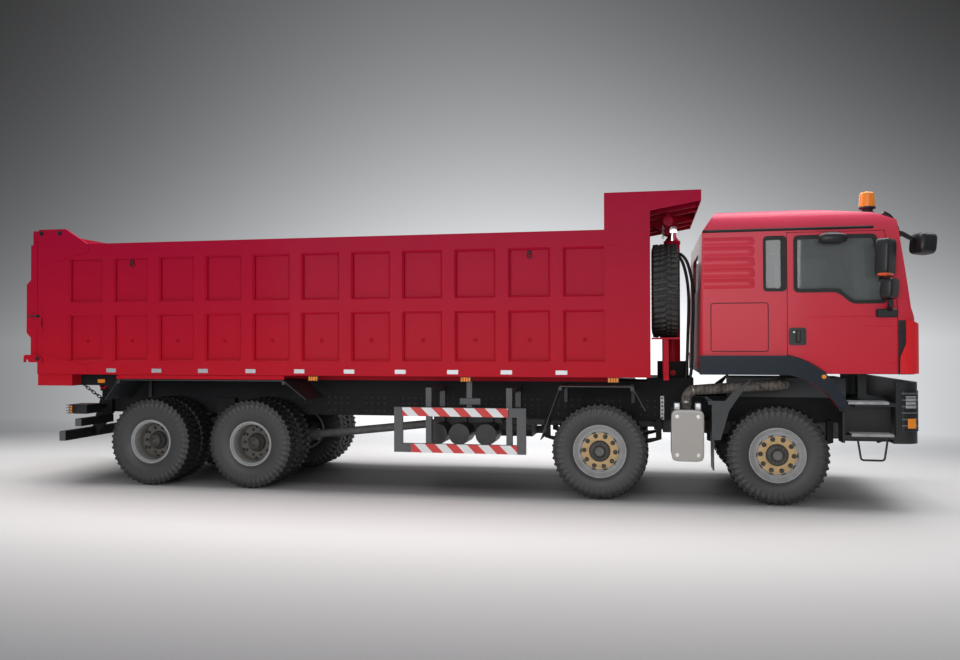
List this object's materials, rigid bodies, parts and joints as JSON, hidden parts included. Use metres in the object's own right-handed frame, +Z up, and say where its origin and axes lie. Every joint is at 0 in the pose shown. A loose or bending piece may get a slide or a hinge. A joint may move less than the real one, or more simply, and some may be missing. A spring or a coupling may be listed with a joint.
{
  "type": "dump truck",
  "caption": "Dump truck with a tilting cab, a long ribbed steel bed with a top-hung tailgate, a front hoist, steered front wheels and twin rear wheels",
  "frame": {"origin": "on the ground under the middle of the whole truck", "axes": "+X forward to the cab, +Y to the left side of the truck, +Z up"},
  "size_m": [11.138, 2.964, 3.567],
  "materials": {
    "bed_red": "semi-gloss red paint, dusty",
    "cab_red": "gloss red paint",
    "hoist_red": "red paint",
    "hoist_chrome": "ground and chromed steel",
    "frame_black": "satin black paint",
    "axle_black": "black paint over castings",
    "engine_grey": "grey paint",
    "driveline_grey": "grey paint",
    "bumper_black": "grained dark plastic and steel",
    "silencer_metal": "dull coated steel",
    "guard_grey": "grey paint",
    "tank_grey": "dark grey paint",
    "seat_fabric": "dark woven cloth",
    "dash_plastic": "grained plastic",
    "trim_black": "black plastic",
    "tyre": "dusty rubber on painted steel rims",
    "glass": "clear glass"
  },
  "bodies": {
    "chassis": {"frame": "frame_black", "spare_rack": "bed_red", "spare_wheel": "tyre", "axles": "axle_black", "springs": "axle_black", "engine": "engine_grey", "driveline": "driveline_grey", "bumper": "bumper_black", "tow_lugs": "frame_black", "exhaust": "silencer_metal", "side_guards": "guard_grey", "tanks": "tank_grey", "mudguards": "guard_grey", "underrun": "frame_black"},
    "cab": {"cab_floor": "cab_red", "cab_walls": "cab_red", "cab_roof": "cab_red", "cab_front": "cab_red", "cab_glass": "glass", "seats": "seat_fabric", "dash": "dash_plastic", "cab_fittings": "trim_black"},
    "door_right": {"door_right": "cab_red", "door_glass_right": "glass", "mirrors_right": "trim_black"},
    "door_left": {"door_left": "cab_red", "door_glass_left": "glass", "mirrors_left": "trim_black"},
    "bed": {"bed_floor": "bed_red", "bed_side_right": "bed_red", "bed_side_left": "bed_red", "headboard": "bed_red", "gate_brackets": "bed_red"},
    "tailgate": {"tailgate": "bed_red", "gate_hinges": "bed_red"},
    "hoist_barrel": {"hoist_barrel": "hoist_red"},
    "hoist_stage_1": {"hoist_stage_1": "hoist_chrome"},
    "hoist_stage_2": {"hoist_stage_2": "hoist_chrome"},
    "hoist_stage_3": {"hoist_stage_3": "hoist_chrome"},
    "hoist_stage_4": {"hoist_stage_4": "hoist_chrome"},
    "knuckle_1r": {"knuckle_1r": "axle_black"},
    "wheel_1r": {"wheel_1r": "tyre"},
    "knuckle_1l": {"knuckle_1l": "axle_black"},
    "wheel_1l": {"wheel_1l": "tyre"},
    "knuckle_2r": {"knuckle_2r": "axle_black"},
    "wheel_2r": {"wheel_2r": "tyre"},
    "knuckle_2l": {"knuckle_2l": "axle_black"},
    "wheel_2l": {"wheel_2l": "tyre"},
    "tie_rod_1": {"tie_rod_1": "axle_black"},
    "tie_rod_2": {"tie_rod_2": "axle_black"},
    "wheels_3r": {"wheels_3r": "tyre"},
    "wheels_3l": {"wheels_3l": "tyre"},
    "wheels_4r": {"wheels_4r": "tyre"},
    "wheels_4l": {"wheels_4l": "tyre"}
  },
  "joints": [
    {"name": "steer_1r", "type": "hinge", "parent": "chassis", "child": "knuckle_1r", "pos_m": [3.981, -0.88, 0.5625], "axis": [0, 0, 1], "range_deg": [-35, 35]},
    {"name": "roll_1r", "type": "hinge", "parent": "knuckle_1r", "child": "wheel_1r", "pos_m": [3.981, -1.02, 0.5625], "axis": [0, 1, 0], "continuous": true},
    {"name": "steer_1l", "type": "hinge", "parent": "chassis", "child": "knuckle_1l", "pos_m": [3.981, 0.88, 0.5625], "axis": [0, 0, 1], "range_deg": [-35, 35]},
    {"name": "roll_1l", "type": "hinge", "parent": "knuckle_1l", "child": "wheel_1l", "pos_m": [3.981, 1.02, 0.5625], "axis": [0, 1, 0], "continuous": true},
    {"name": "steer_2r", "type": "hinge", "parent": "chassis", "child": "knuckle_2r", "pos_m": [2.001, -0.88, 0.5625], "axis": [0, 0, 1], "range_deg": [-21.75, 21.75]},
    {"name": "roll_2r", "type": "hinge", "parent": "knuckle_2r", "child": "wheel_2r", "pos_m": [2.001, -1.02, 0.5625], "axis": [0, 1, 0], "continuous": true},
    {"name": "steer_2l", "type": "hinge", "parent": "chassis", "child": "knuckle_2l", "pos_m": [2.001, 0.88, 0.5625], "axis": [0, 0, 1], "range_deg": [-21.75, 21.75]},
    {"name": "roll_2l", "type": "hinge", "parent": "knuckle_2l", "child": "wheel_2l", "pos_m": [2.001, 1.02, 0.5625], "axis": [0, 1, 0], "continuous": true},
    {"name": "tie_shift_1", "type": "slide", "parent": "chassis", "child": "tie_rod_1", "axis": [0, 1, 0], "range_m": [-0.115, 0.115]},
    {"name": "tie_shift_2", "type": "slide", "parent": "chassis", "child": "tie_rod_2", "axis": [0, 1, 0], "range_m": [-0.075, 0.075]},
    {"name": "roll_3r", "type": "hinge", "parent": "chassis", "child": "wheels_3r", "pos_m": [-2.369, -0.885, 0.5625], "axis": [0, 1, 0], "continuous": true},
    {"name": "roll_3l", "type": "hinge", "parent": "chassis", "child": "wheels_3l", "pos_m": [-2.369, 0.885, 0.5625], "axis": [0, 1, 0], "continuous": true},
    {"name": "roll_4r", "type": "hinge", "parent": "chassis", "child": "wheels_4r", "pos_m": [-3.759, -0.885, 0.5625], "axis": [0, 1, 0], "continuous": true},
    {"name": "roll_4l", "type": "hinge", "parent": "chassis", "child": "wheels_4l", "pos_m": [-3.759, 0.885, 0.5625], "axis": [0, 1, 0], "continuous": true},
    {"name": "cab_tilt", "type": "hinge", "parent": "chassis", "child": "cab", "pos_m": [5.281, 0, 1.12], "axis": [0, 1, 0], "range_deg": [0, 55]},
    {"name": "door_right_swing", "type": "hinge", "parent": "cab", "child": "door_right", "pos_m": [5.226, -1.2155, 2.2685], "axis": [0, 0, 1], "range_deg": [0, 70]},
    {"name": "door_left_swing", "type": "hinge", "parent": "cab", "child": "door_left", "pos_m": [5.226, 1.2155, 2.2685], "axis": [0, 0, -1], "range_deg": [0, 70]},
    {"name": "bed_tilt", "type": "hinge", "parent": "chassis", "child": "bed", "pos_m": [-4.949, 0, 1.255], "axis": [0, -1, 0], "range_deg": [0, 46]},
    {"name": "tailgate_swing", "type": "hinge", "parent": "bed", "child": "tailgate", "pos_m": [-5.331, 0, 3.296], "axis": [0, 1, 0], "range_deg": [0, 55]},
    {"name": "hoist_lean", "type": "hinge", "parent": "chassis", "child": "hoist_barrel", "pos_m": [2.871, 0, 1.45], "axis": [0, -1, 0], "range_deg": [0, 29.38]},
    {"name": "stage_1_reach", "type": "slide", "parent": "hoist_barrel", "child": "hoist_stage_1", "axis": [0, 0, 1], "range_m": [0, 1.5045]},
    {"name": "stage_2_reach", "type": "slide", "parent": "hoist_stage_1", "child": "hoist_stage_2", "axis": [0, 0, 1], "range_m": [0, 1.5045]},
    {"name": "stage_3_reach", "type": "slide", "parent": "hoist_stage_2", "child": "hoist_stage_3", "axis": [0, 0, 1], "range_m": [0, 1.5045]},
    {"name": "stage_4_reach", "type": "slide", "parent": "hoist_stage_3", "child": "hoist_stage_4", "axis": [0, 0, 1], "range_m": [0, 1.5045]}
  ],
  "couplings": [
    {"joint": "steer_1r", "follows": "steer_1l", "ratio": 1},
    {"joint": "steer_2r", "follows": "steer_1l", "ratio": 0.62},
    {"joint": "steer_2l", "follows": "steer_1l", "ratio": 0.62},
    {"joint": "tie_shift_1", "follows": "steer_1l", "m_per_rad": -0.18779},
    {"joint": "tie_shift_2", "follows": "steer_1l", "m_per_rad": -0.12106},
    {"joint": "hoist_lean", "follows": "bed_tilt", "ratio": 0.63757},
    {"joint": "stage_1_reach", "follows": "bed_tilt", "m_per_rad": 1.8727},
    {"joint": "stage_2_reach", "follows": "bed_tilt", "m_per_rad": 1.8727},
    {"joint": "stage_3_reach", "follows": "bed_tilt", "m_per_rad": 1.8727},
    {"joint": "stage_4_reach", "follows": "bed_tilt", "m_per_rad": 1.8727}
  ]
}
